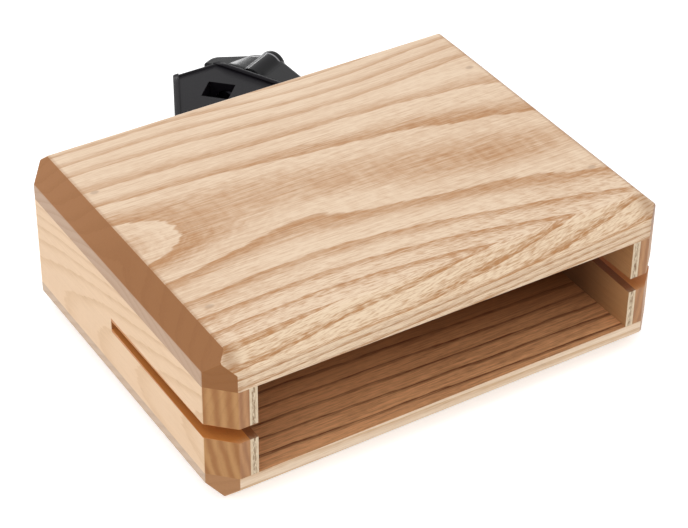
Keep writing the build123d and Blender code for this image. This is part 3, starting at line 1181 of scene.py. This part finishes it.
def holder_screws(steel):
    """The two wood screws that hold the flange, with threads and cross heads."""
    low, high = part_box("holder_screws")
    level = (low.z + high.z) / 2
    work = bmesh.new()
    for side in (-1, 1):
        across = [point.x for point in points_of("holder_screws", Matrix()) if point.x * side > 0]
        middle = (min(across) + max(across)) / 2
        older = set(work.verts)
        wood_screw(work, high.y - low.y, max(across) - middle)
        newer = [point for point in work.verts if point not in older]
        place = Matrix.Translation((middle, high.y, level)) @ Matrix.Rotation(-pi / 2, 4, "X")
        bmesh.ops.transform(work, matrix=place, verts=newer)
    piece = new_piece("holder_screws_cross_head", work, Matrix(), steel, "block")
    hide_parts("holder_screws")


def make_pieces(axes, wing_black, holder_black):
    steel = metal("zinc_steel", ZINC_LIGHT, ZINC_DARK, smooth=0.22, rough=0.4)
    threaded_screw(axes, steel)
    domed_cap(axes, wing_black)
    wing_roots(axes, wing_black)
    rim_beads(axes, holder_black)
    nose_bead(holder_black)
    holder_screws(steel)


# Studio

def seen_rays(graph):
    """1 for rays that show the background: straight from the camera, mirrored, or through glass."""
    rays = graph.node("ShaderNodeLightPath")
    share = 0.0
    for name in ("Is Camera Ray", "Is Glossy Ray", "Is Transmission Ray"):
        share = graph.math("MAXIMUM", Signal(graph, rays.outputs[name]), share)
    return share


def studio_world():
    world = bpy.data.worlds.new("white_studio")
    world.use_nodes = True
    graph = Graph(world.node_tree)
    sky = world.node_tree.nodes["Background"]
    sky.inputs["Color"].default_value = (1, 1, 1, 1)
    graph.feed(sky.inputs["Strength"], SKY_STRENGTH + seen_rays(graph) * (1 - SKY_STRENGTH))
    bpy.context.scene.world = world


def studio_floor():
    mesh = bpy.data.meshes.new("floor")
    half = FLOOR_SIZE / 2
    corners = [(-half, -half, 0), (half, -half, 0), (half, half, 0), (-half, half, 0)]
    mesh.from_pydata(corners, [], [(0, 1, 2, 3)])
    floor = bpy.data.objects.new("floor", mesh)
    floor.location.z = solid_box[0][2] - FLOOR_GAP
    bpy.context.scene.collection.objects.link(floor)
    material, graph, shader = new_material("white_floor")
    shader.inputs["Base Color"].default_value = (FLOOR_WHITE, FLOOR_WHITE, FLOOR_WHITE, 1)
    shader.inputs["Roughness"].default_value = 1.0
    shader.inputs["Specular IOR Level"].default_value = 0.0
    shader.inputs["Emission Color"].default_value = (1, 1, 1, 1)
    graph.feed(shader.inputs["Emission Strength"], seen_rays(graph) * FLOOR_LIFT)
    mesh.materials.append(material)


def softbox(name, place, size, power):
    light = bpy.data.lights.new(name, "AREA")
    light.shape = "RECTANGLE"
    light.size, light.size_y = size
    light.energy = power
    lamp = bpy.data.objects.new(name, light)
    lamp.location = place
    lamp.rotation_euler = (Vector(LIGHT_AIM) - Vector(place)).to_track_quat("-Z", "Y").to_euler()
    bpy.context.scene.collection.objects.link(lamp)


def photo_camera():
    camera = bpy.data.cameras.new("photo_camera")
    camera.lens = CAMERA_LENS
    camera.sensor_width = SENSOR_WIDTH
    camera.sensor_fit = "HORIZONTAL"
    holder = bpy.data.objects.new("photo_camera", camera)
    turn = Matrix.Rotation(CAMERA_AZIMUTH, 4, "Z")
    tilt = Matrix.Rotation(radians(90) - CAMERA_DROP, 4, "X")
    roll = Matrix.Rotation(CAMERA_ROLL, 4, "Z")
    holder.matrix_world = Matrix.Translation(CAMERA_PLACE) @ turn @ tilt @ roll
    bpy.context.scene.collection.objects.link(holder)
    bpy.context.scene.camera = holder


bpy.context.scene.view_settings.view_transform = "Standard"
axes = screw_axes()
wing_black = wing_plastic(axes)
holder_black = holder_plastic()
finish_solids(wing_black, holder_black)
make_pieces(axes, wing_black, holder_black)
studio_world()
studio_floor()
for name, place, size, power in SOFTBOXES:
    softbox(name, place, size, power)
photo_camera()
